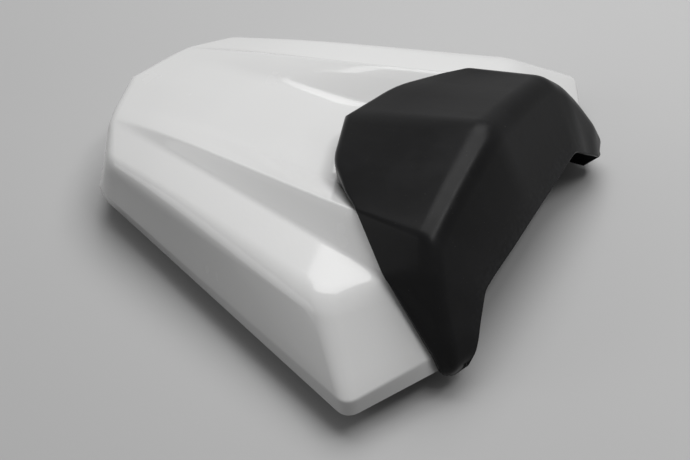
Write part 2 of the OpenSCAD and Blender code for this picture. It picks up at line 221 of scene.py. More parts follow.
# Setbacks and steps of the rounding at each row, then at each column
SHELL_ROUNDING = (
    [
        FLAT,
        (1,) * 8,
        (6, 6, 6, 6, 6, 9, 5, 5),
        (90,) * 8,
        (5, 5, 5, 5, 6, 8, 7, 7),
        FLAT,
        FLAT,
        FLAT,
    ],
    (0, 1, 5, 6, 5, 0, 0, 0),
    (0, 5, 1, 1.5, 3, 9.5, 1, 0),
    (0, 2, 1, 1, 2, 5, 1, 0),
)


def seam_out(k):
    """The direction straight out of the shell at the seam."""
    along = point(1, 0, 0) if k == 0 else SEAM_ROW[min(k + 1, 7)] - SEAM_ROW[k - 1]
    return unit(np.cross(SEAM_ROW[k] - FRONT_ROW[k], along))


def proud(k):
    """A point of the hood's outer skin where it stands over the seam."""
    return SEAM_ROW[k] + seam_out(k) * (HOOD_WALL + SEAT_GAP * (4 if k > 5 else 2))


HOOD_FOOT = [SEAM_ROW[k] + seam_out(k) * SEAT_GAP for k in range(3)]
HOOD_FOOT += [proud(k) + unit(FRONT_ROW[k] - SEAM_ROW[k]) * EDGE_OVERLAP for k in range(3, 8)]
HOOD_FOOT.append(proud(7) + point(-2.8, 0.3, -5))
HOOD_EDGE = [
    point(0, 98, HOOD_REAR_H),
    point(31, 87, HOOD_REAR_H - 0.3),
    point(49.5, 69.5, HOOD_REAR_H - 0.4),
]
HOOD_EDGE += [proud(k) for k in range(3, 8)]
HOOD_EDGE.append(proud(7) + point(-4.3, 0, -6))
HOOD_FOLD = [
    point(0, PEAK_Y, PEAK_H),
    point(ELBOW_HALF_W * 0.5, PEAK_Y, lerp(ELBOW_H, PEAK_H, 0.53)),
    point(ELBOW_HALF_W * 0.82, PEAK_Y - 0.5, lerp(ELBOW_H, PEAK_H, 0.2)),
    point(ELBOW_HALF_W, PEAK_Y - 1, ELBOW_H),
    point(72.8, 10, 48.8),
    point(80.5, 4.6, 34.5),
    point(84.5, -2.2, 18.5),
    point(88.8, -5.8, 3.5),
    point(LEG_HALF_W, -1.3, -LEG_DROP),
]
HOOD_ARCH = [
    point(0, -FACE_LEAN + 4, ARCH_H + 0.5),
    point(KNEE_HALF_W * 0.45, -FACE_LEAN + 4, ARCH_H + 0.3),
    point(KNEE_HALF_W * 0.8, -FACE_LEAN + 4.5, ARCH_H + 0.1),
    point(KNEE_HALF_W, -FACE_LEAN + 4.5, ARCH_H - 0.5),
    point(KNEE_HALF_W + 6, -FACE_LEAN + 3, ARCH_H - 5),
    point(KNEE_HALF_W + 11, -FACE_LEAN + 2, ARCH_H - 10),
    point(70, -TIP_LEAN + 0.5, 9.3),
    point(74, -TIP_LEAN, 5.3),
    point(LEG_HALF_W - 2, -TIP_LEAN + 1.5, 0.5),
]
# The plate inside each leg, as pairs of y and z
HEEL = ((-8.2, 0.4), (0.3, -9), (8.2, -9), (9, -2.5), (-1, 3), (-6, 9))
HEEL_X, HEEL_T = 78.6, 2.2
HOOD_NET = [HOOD_FOOT, HOOD_EDGE, HOOD_FOLD, HOOD_ARCH]
HOOD_ROUNDING = (
    [FLAT, (4, 4, 3, 1, 1, 1, 1, 1, 1), (12, 10, 9, 9, 9, 8, 5, 4, 3), FLAT],
    (0, 2, 6, 0),
    (0, 8, 3, 3, 4, 8, 3, 3, 0),
    (0, 3, 2, 2, 2, 3, 1, 1, 0),
)

# The screws stay where the tray's holes are, so they follow the solid's softer front corner
SOLID_FRONT_ROUNDING = (5, 5, 5, 5, 8, 14, 9, 8)
SOLID_ROWS = SHELL_ROUNDING[0][:4] + [SOLID_FRONT_ROUNDING] + SHELL_ROUNDING[0][5:]
COARSE_SHELL = surface_half(SHELL_NET, SOLID_ROWS, *SHELL_ROUNDING[1:])
# Rows and columns of the coarse shell that the tray's screws stand under
TRAY_FIXING_SPOTS = ((8.4, 0.6), (12.5, 10.5), (15.6, 10.5))
TRAY_FIXINGS = [net_point(COARSE_SHELL, r, k) for r, k in TRAY_FIXING_SPOTS]
# The hood's screws stand at this share of the flange's width, and of the way to its second column
FIXING_DEPTH_SHARE, FIXING_COLUMN_SHARE = 0.55, 0.8
HOOD_FIXING = lerp(
    lap_point(0, LAP_W * FIXING_DEPTH_SHARE),
    lap_point(1, LAP_W * FIXING_DEPTH_SHARE),
    FIXING_COLUMN_SHARE,
)
HOOD_BOSS_TOP = net_point(HOOD_NET, 1.12, 0.75)[2] - HOOD_WALL / 2
HOOD_WASHER_Z = HOOD_FIXING[2] - SHELL_WALL - HOOD_WASHER_DROP


def colour_property(name, description, default):
    """A colour that a user may change."""
    return bpy.props.FloatVectorProperty(
        name=name, description=description, subtype="COLOR", size=3, default=default
    )


def length_property(name, description, default, least=0.0):
    """A length in metres that a user may change."""
    return bpy.props.FloatProperty(
        name=name, description=description, default=default, min=least, unit="LENGTH"
    )


class CowlSizes(bpy.types.PropertyGroup):
    """Sizes of the cowl's mouldings"""

    fineness: bpy.props.IntProperty(
        name="Fineness",
        description="Steps of each rounded corner, against the coarse solid",
        default=3,
        min=1,
        max=5,
    )
    straights: bpy.props.IntProperty(
        name="Straights",
        description="Divisions of each straight stretch",
        default=4,
        min=1,
        max=8,
    )
    edge_round: length_property("Edge rounding", "Rounding of the moulded edges", 0.0006)
    boss_radius: length_property("Boss radius", "Outer radius of the screw bosses", 0.004, 0.003)


class FastenerSizes(bpy.types.PropertyGroup):
    """Sizes of the screws, nuts and the striker's rod"""

    shank_radius: length_property("Shank radius", "Radius of the screws' shanks", 0.002)
    head_radius: length_property("Head radius", "Radius of the screws' heads", 0.004)
    head_height: length_property("Head height", "Height of the screws' heads", 0.0024)
    rod_radius: length_property("Rod radius", "Radius of the striker's rod", 0.003)


class CowlColours(bpy.types.PropertyGroup):
    """Colours of the cowl's finishes"""

    paint: colour_property("Paint", "Colour of the shell's gloss paint", (0.84, 0.84, 0.835))
    hood: colour_property("Hood", "Colour of the hood's satin plastic", (0.005, 0.005, 0.0054))
    bare: colour_property(
        "Bare plastic", "Colour inside the shell and of the tray", (0.022, 0.022, 0.023)
    )
    rubber: colour_property("Rubber", "Colour of the dampers", (0.02, 0.02, 0.02))
    zinc: colour_property("Zinc", "Colour of the striker's plating", (0.62, 0.62, 0.63))
    dark_zinc: colour_property("Dark zinc", "Colour of the screws' plating", (0.12, 0.12, 0.125))


class StageSettings(bpy.types.PropertyGroup):
    """Light and floor"""

    floor: colour_property("Floor", "Colour of the floor", (0.6, 0.6, 0.6))
    backdrop: colour_property("Backdrop", "Colour that the floor fades to", (0.5, 0.5, 0.5))
    softbox: bpy.props.FloatProperty(
        name="Softbox",
        description="Power of the softbox, which the other lamps take a share of",
        default=8.8,
        min=0.0,
        subtype="POWER",
    )
    fill: bpy.props.FloatProperty(
        name="Fill", description="Strength of the light all round", default=0.15, min=0.0
    )


class Wire:
    """A socket of a node tree that takes part in sums."""

    def __init__(self, sketch, socket):
        self.sketch, self.socket = sketch, socket

    def sum(self, operation, a, b):
        """Adds a Math node on two wires or numbers."""
        return self.sketch.add("ShaderNodeMath", {"operation": operation}, {0: a, 1: b})

    def __add__(self, other):
        return self.sum("ADD", self, other)

    def __radd__(self, other):
        return self.sum("ADD", other, self)

    def __sub__(self, other):
        return self.sum("SUBTRACT", self, other)

    def __rsub__(self, other):
        return self.sum("SUBTRACT", other, self)

    def __mul__(self, other):
        return self.sum("MULTIPLY", self, other)

    def __rmul__(self, other):
        return self.sum("MULTIPLY", other, self)

    def between(self, low, high):
        """How far this value has come from low to high, from 0 to 1, with soft ends."""
        return self.sketch.add(
            "ShaderNodeMapRange", {"interpolation_type": "SMOOTHSTEP"}, {0: self, 1: low, 2: high}
        )


class Sketch:
    """Adds nodes to a tree and hands back their outputs as wires."""

    def __init__(self, tree):
        self.tree = tree
        tree.nodes.clear()

    def add(self, kind, settings=None, feeds=None, out=0):
        """Adds a node with its settings and the values or wires of its sockets."""
        node = self.tree.nodes.new(kind)
        for key, value in (settings or {}).items():
            setattr(node, key, value)
        for key, value in (feeds or {}).items():
            if isinstance(value, (list, tuple)) and value and isinstance(value[0], Wire):
                for wire in value:
                    self.tree.links.new(wire.socket, node.inputs[key])
            elif isinstance(value, Wire):
                self.tree.links.new(value.socket, node.inputs[key])
            else:
                node.inputs[key].default_value = value
        return Wire(self, node.outputs[out]) if node.outputs else node

    def background_ray(self):
        """1 for the rays that see the background: from the camera, off gloss and through glass."""
        camera, gloss, glass = (
            self.add("ShaderNodeLightPath", out=f"Is {kind} Ray")
            for kind in ("Camera", "Glossy", "Transmission")
        )
        return camera + gloss + glass


# Sockets of a Mix node for colours, whose names are taken twice
MIX_SHARE, MIX_A, MIX_B, MIX_RESULT = 0, 6, 7, 2


class Finish(Sketch):
    """A material that is written as sums."""

    def __init__(self, name):
        self.material = bpy.data.materials.new(name)
        self.material.use_nodes = True
        super().__init__(self.material.node_tree)
        self.place = self.add("ShaderNodeTexCoord", out="Object")

    def noise(self, scale, detail=2.0, roughness=0.5, stretch=None):
        """A noise on the piece's own place, stretched by shares along x, y and z."""
        where = self.place
        if stretch:
            where = self.add("ShaderNodeMapping", feeds={"Vector": where, "Scale": stretch})
        feeds = {"Vector": where, "Scale": scale, "Detail": detail, "Roughness": roughness}
        return self.add("ShaderNodeTexNoise", feeds=feeds)

    def attribute(self, name):
        """A value that each point of the piece carries."""
        return self.add("ShaderNodeAttribute", {"attribute_name": name}, out="Fac")

    def mix(self, share, a, b):
        """A colour that goes from a to b with the share."""
        a, b = (c if isinstance(c, Wire) else (*c, 1) for c in (a, b))
        feeds = {MIX_SHARE: share, MIX_A: a, MIX_B: b}
        return self.add("ShaderNodeMix", {"data_type": "RGBA"}, feeds, out=MIX_RESULT)

    def bump(self, height, strength, distance, under=None):
        """A normal that the height tilts, on top of another normal where one is given."""
        feeds = {"Height": height, "Strength": strength, "Distance": distance}
        if under:
            feeds["Normal"] = under
        return self.add("ShaderNodeBump", feeds=feeds)

    def surface(self, **feeds):
        """Ends the material in a Principled shader, fed by its sockets' names in small letters."""
        named = {key.replace("_", " ").title().replace("Ior", "IOR"): feeds[key] for key in feeds}
        shader = self.add("ShaderNodeBsdfPrincipled", feeds=named)
        self.add("ShaderNodeOutputMaterial", feeds={"Surface": shader})
        return self.material


def scaled(colour, share):
    """A darker or lighter colour."""
    return tuple(c * share for c in colour)


# Colours of the dust, specks, scuffs and stains
PAINT_DUST, HOOD_SPECKS = (0.5, 0.49, 0.47), (0.2, 0.195, 0.19)
TRAY_DUST, TRAY_SCUFFS = (0.17, 0.16, 0.15), (0.12, 0.12, 0.12)
ZINC_STAIN, DARK_ZINC_STAIN = (0.42, 0.41, 0.38), (0.2, 0.19, 0.17)


def shell_paint(colours):
    """Gloss white paint outside, with a faint orange peel; bare plastic with overspray inside."""
    look = Finish("shell_paint")
    inside = look.attribute("inside").between(0.35, 0.65)
    mist = look.noise(scale=260, detail=5, roughness=0.7).between(0.38, 0.62)
    overspray = look.attribute("rim").between(0.0, 1.0) * mist
    bare = inside * (1 - overspray * 0.8)
    cloud = look.noise(scale=9, detail=3).between(0.3, 0.7)
    paint = look.mix(cloud, colours.paint, scaled(colours.paint, 0.975))
    specks, drift = look.noise(scale=900), look.noise(scale=40, detail=3)
    dust = specks.between(0.74, 0.8) * drift.between(0.45, 0.7)
    paint = look.mix(dust * 0.04, paint, PAINT_DUST)
    grain = look.noise(scale=1900, detail=3)
    dark = look.mix(grain, colours.bare, scaled(colours.bare, 1.7))
    peel = look.bump(look.noise(scale=520), strength=0.035, distance=0.0006)
    peel = look.bump(grain * inside, strength=0.12, distance=0.0003, under=peel)
    dull = look.noise(scale=30, detail=4).between(0.3, 0.75)
    return look.surface(
        base_color=look.mix(bare, paint, dark),
        roughness=0.2 + dull * 0.08 + bare * 0.35,
        specular_ior_level=0.3,
        coat_weight=(1 - inside) * 0.75,
        coat_roughness=0.045,
        normal=peel,
    )


def hood_plastic(colours):
    """Satin black plastic with a fine grain, wipe marks and edges lightened partly by wear, partly as a
    painted highlight.
    """
    look = Finish("hood_plastic")
    smudge = look.noise(scale=22, detail=5, roughness=0.62, stretch=(1, 0.6, 1)).between(0.46, 0.7)
    wipes = look.noise(scale=60, detail=4, roughness=0.6, stretch=(3.2, 0.5, 1)).between(0.5, 0.8)
    # Patches along the rim are lightened: partly wear, partly a painted highlight where the edge
    # catches the light
    rub_and_highlight_noise = look.noise(scale=420, detail=3).between(0.3, 0.8)
    worn_and_lit_edge = look.attribute("rim").between(0.5, 1.0) * rub_and_highlight_noise
    base = look.mix(smudge * 0.6, colours.hood, scaled(colours.hood, 2.2))
    base = look.mix(worn_and_lit_edge * 0.4, base, scaled(colours.hood, 6))
    specks = look.noise(scale=1100).between(0.74, 0.78)
    base = look.mix(specks * 0.25, base, HOOD_SPECKS)
    grain = look.bump(look.noise(scale=2600), strength=0.1, distance=0.00015)
    return look.surface(
        base_color=base,
        roughness=0.29 + smudge * 0.11 + wipes * 0.07 - worn_and_lit_edge * 0.02,
        specular_ior_level=0.15,
        normal=look.bump(look.noise(scale=240), strength=0.04, distance=0.0005, under=grain),
    )


def tray_plastic(colours):
    """Grained black plastic, a little dusty and scuffed."""
    look = Finish("tray_plastic")
    grain = look.noise(scale=1500, detail=3, roughness=0.6)
    dust = look.noise(scale=18, detail=5, roughness=0.65).between(0.42, 0.72)
    scratch = look.noise(scale=90, detail=4, roughness=0.55, stretch=(0.3, 2.6, 1))
    scuffs = scratch.between(0.62, 0.72)
    base = look.mix(grain, colours.bare, scaled(colours.bare, 1.5))
    base = look.mix(dust * 0.16, base, TRAY_DUST)
    base = look.mix(scuffs * 0.2, base, TRAY_SCUFFS)
    return look.surface(
        base_color=base,
        roughness=0.5 + dust * 0.2 - scuffs * 0.1,
        normal=look.bump(grain, strength=0.22, distance=0.0003),
    )


def damper_rubber(colours):
    """Matt black rubber with a grey bloom."""
    look = Finish("damper_rubber")
    bloom = look.noise(scale=70, detail=5, roughness=0.7).between(0.4, 0.75)
    grain = look.noise(scale=1200, detail=3)
    return look.surface(
        base_color=look.mix(bloom * 0.5, colours.rubber, scaled(colours.rubber, 3.2)),
        roughness=0.68 + bloom * 0.18,
        normal=look.bump(grain, strength=0.15, distance=0.0003),
    )


def plated_steel(name, colour, shine, stain):
    """Plated steel: a streaky brushed base under the plating, with duller stains."""
    look = Finish(name)
    cloud = look.noise(scale=130, detail=4, roughness=0.6).between(0.35, 0.7)
    streak = look.noise(scale=900, detail=3, stretch=(0.25, 0.25, 2.5))
    base = look.mix(cloud, colour, scaled(colour, 0.82))
    stained = look.noise(scale=300, detail=4).between(0.62, 0.75)
    base = look.mix(stained * 0.5, base, stain)
    return look.surface(
        base_color=base,
        metallic=1.0,
        roughness=shine + cloud * 0.12 + streak * 0.06,
        normal=look.bump(streak, strength=0.12, distance=0.0002),
    )


def new_piece(name, points, faces, material, node, attributes=None):
    """A finished piece in the part's frame, from points in millimetres, that stands for a CAD node."""
    mesh = bpy.data.meshes.new(name)
    mesh.from_pydata([tuple(p) for p in to_frame(points)], [], faces)
    for key, values in (attributes or {}).items():
        data = mesh.attributes.new(key, "FLOAT", "POINT").data
        data.foreach_set("value", np.asarray(values, np.float32))
    return dress(mesh, name, material, node, sharp=38)


def dress(mesh, name, material, node, sharp):
    mesh.name = name
    mesh.materials.clear()
    mesh.materials.append(material)
    mesh.polygons.foreach_set("material_index", [0] * len(mesh.polygons))
    mesh.polygons.foreach_set("use_smooth", [True] * len(mesh.polygons))
    mesh.set_sharp_from_angle(angle=math.radians(sharp))
    mesh.validate()
    mesh.update()
    piece = bpy.data.objects.new(name, mesh)
    bpy.context.scene.collection.objects.link(piece)
    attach(piece, "root")
    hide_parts(node)
    return piece


def dress_node(name, material):
    """Gives a CAD node that stays its procedural material."""
    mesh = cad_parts[name].data
    mesh.materials.clear()
    mesh.materials.append(material)
    mesh.polygons.foreach_set("material_index", [0] * len(mesh.polygons))


def outward(points, faces):
    """The faces, turned over where they enclose a negative volume."""
    total = 0.0
    for face in faces:
        for i in range(1, len(face) - 1):
            total += np.dot(points[face[0]], np.cross(points[face[i]], points[face[i + 1]]))
    return [face[::-1] for face in faces] if total < 0 else faces


def wall(grid, thick, rounding, level_rim, tips=0):
    """A wall of even thickness behind a grid, with rounded edges all round.

    Gives its points and faces, and for each point how far inside and how near the rim it is.
    level_rim keeps the inner skin's rim at the outer one's height. tips is the number of
    columns at each side that take their direction from the next one.
    """
    rows, cols = grid.shape[:2]
    r, c = np.arange(rows), np.arange(cols)
    along = grid[np.minimum(r + 1, rows - 1)] - grid[np.maximum(r - 1, 0)]
    across = grid[:, np.minimum(c + 1, cols - 1)] - grid[:, np.maximum(c - 1, 0)]
    out = np.cross(along, across)
    out /= np.linalg.norm(out, axis=2, keepdims=True)
    if tips:
        out[:, :tips], out[:, -tips:] = out[:, tips : tips + 1], out[:, -tips - 1 : -tips]
    inner = grid - out * thick
    if level_rim:
        for edge in (np.s_[0, :], np.s_[:, 0], np.s_[:, -1]):
            inner[edge + (2,)] = grid[edge + (2,)]
    skins, border = [grid.copy(), inner.copy()], []
    loop = [(0, j) for j in range(cols)] + [(m, cols - 1) for m in range(1, rows)]
    loop += [(rows - 1, j) for j in range(cols - 2, -1, -1)] + [(m, 0) for m in range(rows - 2, 0, -1)]
    for m, j in loop:
        inward = (min(max(m, 1), rows - 2), min(max(j, 1), cols - 2))
        for skin, source in zip(skins, (grid, inner)):
            step = source[inward] - source[m, j]
            skin[m, j] = source[m, j] + unit(step) * min(rounding, EDGE_SHARE * np.linalg.norm(step))
        share = rounding / thick
        border.append(lerp(grid[m, j], inner[m, j], share))
        border.append(lerp(grid[m, j], inner[m, j], 1 - share))
    points = np.concatenate([skins[0].reshape(-1, 3), skins[1].reshape(-1, 3), border])
    n, base = rows * cols, 2 * rows * cols
    faces = []
    for m in range(rows - 1):
        for j in range(cols - 1):
            a, d = m * cols + j, (m + 1) * cols + j
            faces.append((a, d, d + 1, a + 1))
            faces.append((a + n, a + 1 + n, d + 1 + n, d + n))
    for i, (m, j) in enumerate(loop):
        k = (i + 1) % len(loop)
        a, b = m * cols + j, loop[k][0] * cols + loop[k][1]
        ring = [a, base + 2 * i, base + 2 * i + 1, a + n]
        after = [b, base + 2 * k, base + 2 * k + 1, b + n]
        for s in range(3):
            faces.append((ring[s], after[s], after[s + 1], ring[s + 1]))
    inside = np.concatenate([np.zeros(n), np.ones(n), np.tile((0.0, 0.4), len(loop))])
    near_row = np.exp(-np.minimum(r, rows - 1 - r)[:, None] / RIM_FADE)
    near_col = np.exp(-np.minimum(c, cols - 1 - c)[None, :] / RIM_FADE)
    near_rim = np.clip(near_row + near_col, 0, 1).ravel()
    rim = np.concatenate([near_rim, near_rim, np.ones(2 * len(loop))])
    return points, outward(points, faces), inside, rim


def lathe(profile, centre, steps):
    """A turned shape about an upright axis: profile pairs of radius and height, poles closed."""
    x, y = centre
    points, faces, rings = [], [], []
    for radius, z in profile:
        if radius == 0:
            rings.append([len(points)] * steps)
            points.append((x, y, z))
        else:
            rings.append(list(range(len(points), len(points) + steps)))
            for i in range(steps):
                a = 2 * math.pi * i / steps
                points.append((x + radius * math.cos(a), y + radius * math.sin(a), z))
    for low, high in zip(rings, rings[1:]):
        for i in range(steps):
            k = (i + 1) % steps
            faces.append(tuple(dict.fromkeys((low[i], low[k], high[k], high[i]))))
    points = np.array(points, float)
    return points, outward(points, faces)


def slab(outline, x0, x1):
    """A flat plate from x0 to x1 with an outline of y and z pairs."""
    n = len(outline)
    points = np.array([(x, y, z) for x in (x0, x1) for y, z in outline], float)
    faces = [tuple(range(n)), tuple(range(2 * n - 1, n - 1, -1))]
    faces += [((i + 1) % n, i, i + n, (i + 1) % n + n) for i in range(n)]
    return points, outward(points, faces)


def joined(parts):
    """Several shapes as one list of points and faces."""
    points, faces = [], []
    for p, f in parts:
        start = sum(len(q) for q in points)
        faces += [tuple(i + start for i in face) for face in f]
        points.append(np.asarray(p))
    return np.concatenate(points), faces


def boss(place, low, high, radius, depth):
    """A screw boss: a post with a blind pilot hole in its foot."""
    bevel = 0.3
    profile = [(0, low + depth), (PILOT_R, low + depth), (PILOT_R, low), (radius - bevel, low)]
    profile += [(radius, low + bevel), (radius, high), (0, high)]
    return lathe(profile, place, BOSS_SIDES)


def grid_of(net, rounding, sizes):
    """The fine grid of points of a whole moulding's outer skin."""
    return both_halves(surface_half(net, *rounding, fine=sizes.fineness, spans=sizes.straights))


def moulding(name, walls, extras, material, node):
    """A walled moulding as one piece with the posts and plates that are moulded to it."""
    points, faces, inside, rim = walls
    count = sum(len(p) for p, f in extras)
    points, faces = joined([(points, faces), *extras])
    shares = {"inside": np.append(inside, np.ones(count)), "rim": np.append(rim, np.zeros(count))}
    return new_piece(name, points, faces, material, node, shares)


class Growth(Sketch):
    """A Geometry Nodes tree with named inputs that ends in real faces with a material."""

    def __init__(self, name, inputs):
        tree = bpy.data.node_groups.new(name, "GeometryNodeTree")
        super().__init__(tree)
        sockets = tree.interface
        sockets.new_socket("Geometry", in_out="OUTPUT", socket_type="NodeSocketGeometry")
        sockets.new_socket("Geometry", in_out="INPUT", socket_type="NodeSocketGeometry")
        kinds = {**dict.fromkeys(inputs, "NodeSocketFloat"), "Material": "NodeSocketMaterial"}
        self.keys = {
            label: sockets.new_socket(label, in_out="INPUT", socket_type=kind).identifier
            for label, kind in kinds.items()
        }
        self.start = tree.nodes.new("NodeGroupInput")

    def given(self, label):
        """The wire of one of the tree's inputs."""
        return Wire(self, self.start.outputs[label])

    def raised(self, shape, z):
        """The shape, moved up by z."""
        by = self.add("ShaderNodeCombineXYZ", feeds={"Z": z})
        return self.add("GeometryNodeTransform", feeds={"Geometry": shape, "Translation": by})

    def drum(self, sides, radius, depth):
        """A cylinder or a prism about its middle."""
        feeds = {"Vertices": sides, "Radius": radius, "Depth": depth}
        return self.add("GeometryNodeMeshCylinder", {"fill_type": "NGON"}, feeds)

    def cone(self, top, bottom, depth):
        """A round cone's frustum on its foot."""
        feeds = {"Vertices": 40, "Radius Top": top, "Radius Bottom": bottom, "Depth": depth}
        return self.add("GeometryNodeMeshCone", {"fill_type": "NGON"}, feeds)

    def cut(self, operation, first, other):
        """Two shapes joined, crossed or cut."""
        whole = operation == "DIFFERENCE"
        feeds = {0: first, 1: other} if whole else {1: [first, other]}
        settings = {"operation": operation, "solver": "EXACT"}
        return self.add("GeometryNodeMeshBoolean", settings, feeds)

    def end(self, shape):
        """Ends the tree in real faces with the material that it was given."""
        real = self.add("GeometryNodeRealizeInstances", feeds={"Geometry": shape})
        feeds = {"Geometry": real, "Material": self.given("Material")}
        finished = self.add("GeometryNodeSetMaterial", feeds=feeds)
        self.add("NodeGroupOutput", feeds={"Geometry": finished})
        return self

    def end_on_points(self, shape):
        """Ends the tree in the shape at every point of its geometry."""
        feeds = {"Points": self.given("Geometry"), "Instance": shape}
        return self.end(self.add("GeometryNodeInstanceOnPoints", feeds=feeds))

    def grow(self, name, points, values, node, slot, material, edges=(), sharp=30):
        """Runs the tree on points in millimetres and keeps the result as a plain mesh."""
        seeds = bpy.data.meshes.new(name + "_points")
        seeds.from_pydata([tuple(p) for p in to_frame(points)], edges, [])
        holder = bpy.data.objects.new(name + "_points", seeds)
        bpy.context.scene.collection.objects.link(holder)
        run = holder.modifiers.new("grow", "NODES")
        run.node_group = self.tree
        for label, value in {**values, "Material": material}.items():
            run[self.keys[label]] = value
        graph = bpy.context.evaluated_depsgraph_get()
        mesh = bpy.data.meshes.new_from_object(
            holder.evaluated_get(graph), preserve_all_data_layers=True, depsgraph=graph
        )
        holder.modifiers.remove(run)
        bpy.data.objects.remove(holder)
        if not mesh.polygons:
            raise RuntimeError(f"{name} grew no faces")
        return dress(mesh, name, material, node, sharp)


def screw_tree():
    """Pan-head screws with a six-sided socket, heads down."""
    tree = Growth("pan_screws", ("Shank Radius", "Head Radius", "Head Height", "Length"))
    shank_r, head_r = tree.given("Shank Radius"), tree.given("Head Radius")
    head_h, length = tree.given("Head Height"), tree.given("Length")
    shank = tree.raised(tree.drum(28, shank_r, length), length * 0.5)
    head = tree.raised(tree.cone(head_r, head_r * 0.9, head_h * 0.75), head_h * -0.75)
    dome = tree.raised(tree.cone(head_r * 0.9, head_r * 0.68, head_h * 0.25), head_h * -1.0)
    socket = tree.raised(tree.drum(6, head_r * 0.4, head_h * 1.2), head_h * -1.0)
    head = tree.cut("DIFFERENCE", tree.cut("UNION", head, dome), socket)
    return tree.end_on_points(tree.add("GeometryNodeJoinGeometry", feeds={0: [head, shank]}))


def washer_tree():
    """Flat washers with softly rounded edges."""
    tree = Growth("washers", ("Inner Radius", "Outer Radius", "Thickness"))
    inner, outer, thick = (tree.given(label) for label in ("Inner Radius", "Outer Radius", "Thickness"))
    ring = tree.add(
        "GeometryNodeCurvePrimitiveCircle", feeds={"Resolution": 44, "Radius": (inner + outer) * 0.5}
    )
    edge = tree.add(
        "GeometryNodeCurvePrimitiveQuadrilateral", feeds={"Width": outer - inner, "Height": thick}
    )
    edge = tree.add(
        "GeometryNodeFilletCurve", {"mode": "POLY"}, {"Curve": edge, "Radius": thick * 0.15, "Count": 2}
    )
    band = tree.add("GeometryNodeCurveToMesh", feeds={"Curve": ring, "Profile Curve": edge})
    return tree.end_on_points(tree.raised(band, thick * 0.5))


def nut_tree():
    """Hexagon nuts with blunted corners."""
    tree = Growth("nuts", ("Corner Radius", "Bore Radius", "Height"))
    size, bore, height = (tree.given(label) for label in ("Corner Radius", "Bore Radius", "Height"))
    blunt = tree.cut("INTERSECT", tree.drum(6, size, height), tree.drum(48, size * 0.965, height * 1.2))
    nut = tree.cut("DIFFERENCE", blunt, tree.drum(32, bore, height * 1.5))
    return tree.end_on_points(tree.raised(nut, height * 0.5))


def rod_tree():
    """A round rod that follows a path."""
    tree = Growth("bent_rod", ("Rod Radius",))
    path = tree.add("GeometryNodeMeshToCurve", feeds={"Mesh": tree.given("Geometry")})
    section = tree.add(
        "GeometryNodeCurvePrimitiveCircle", feeds={"Resolution": 28, "Radius": tree.given("Rod Radius")}
    )
    feeds = {"Curve": path, "Profile Curve": section, "Fill Caps": True}
    return tree.end(tree.add("GeometryNodeCurveToMesh", feeds=feeds))


class SEATCOWL_OT_shell(bpy.types.Operator):
    """Build the painted shell with its ridges, flange and screw bosses"""

    bl_idname = "seat_cowl.shell"
    bl_label = "Painted shell"

    def execute(self, context):
        cowl = context.scene.seat_cowl
        grid = grid_of(PAINTED_NET, SHELL_ROUNDING, cowl.sizes)
        walls = wall(grid, SHELL_WALL, cowl.sizes.edge_round * 1000, level_rim=True)
        radius, low = cowl.sizes.boss_radius * 1000, TRAY_TOP + SEAT_GAP
        posts = [
            boss((side * x, y), low, z - SHELL_WALL / 2, radius, TRAY_PILOT_DEPTH)
            for x, y, z in TRAY_FIXINGS
            for side in (1, -1)
        ]
        paint = shell_paint(cowl.colours)
        moulding("painted_shell", walls, posts, paint, "cowl_shell")
        return {"FINISHED"}


class SEATCOWL_OT_hood(bpy.types.Operator):
    """Build the black front hood with its fold, arch and legs"""

    bl_idname = "seat_cowl.hood"
    bl_label = "Front hood"

    def execute(self, context):
        cowl = context.scene.seat_cowl
        grid = grid_of(HOOD_NET, HOOD_ROUNDING, cowl.sizes)
        tips = cowl.sizes.fineness + cowl.sizes.straights
        walls = wall(grid, HOOD_WALL, cowl.sizes.edge_round * 1000, level_rim=False, tips=tips)
        radius = cowl.sizes.boss_radius * 1000
        x, y, low = HOOD_FIXING + (0, 0, 2 * SEAT_GAP)
        extras = [boss((side * x, y), low, HOOD_BOSS_TOP, radius, HOOD_PILOT_DEPTH) for side in (1, -1)]
        extras += [slab(HEEL, side * HEEL_X, side * (HEEL_X + HEEL_T)) for side in (1, -1)]
        plastic = hood_plastic(cowl.colours)
        moulding("black_hood", walls, extras, plastic, "front_hood")
        return {"FINISHED"}


class SEATCOWL_OT_tray(bpy.types.Operator):
    """Finish the tray under the shell"""

    bl_idname = "seat_cowl.tray"
    bl_label = "Tray"

    def execute(self, context):
        dress_node("base_tray", tray_plastic(context.scene.seat_cowl.colours))
        return {"FINISHED"}


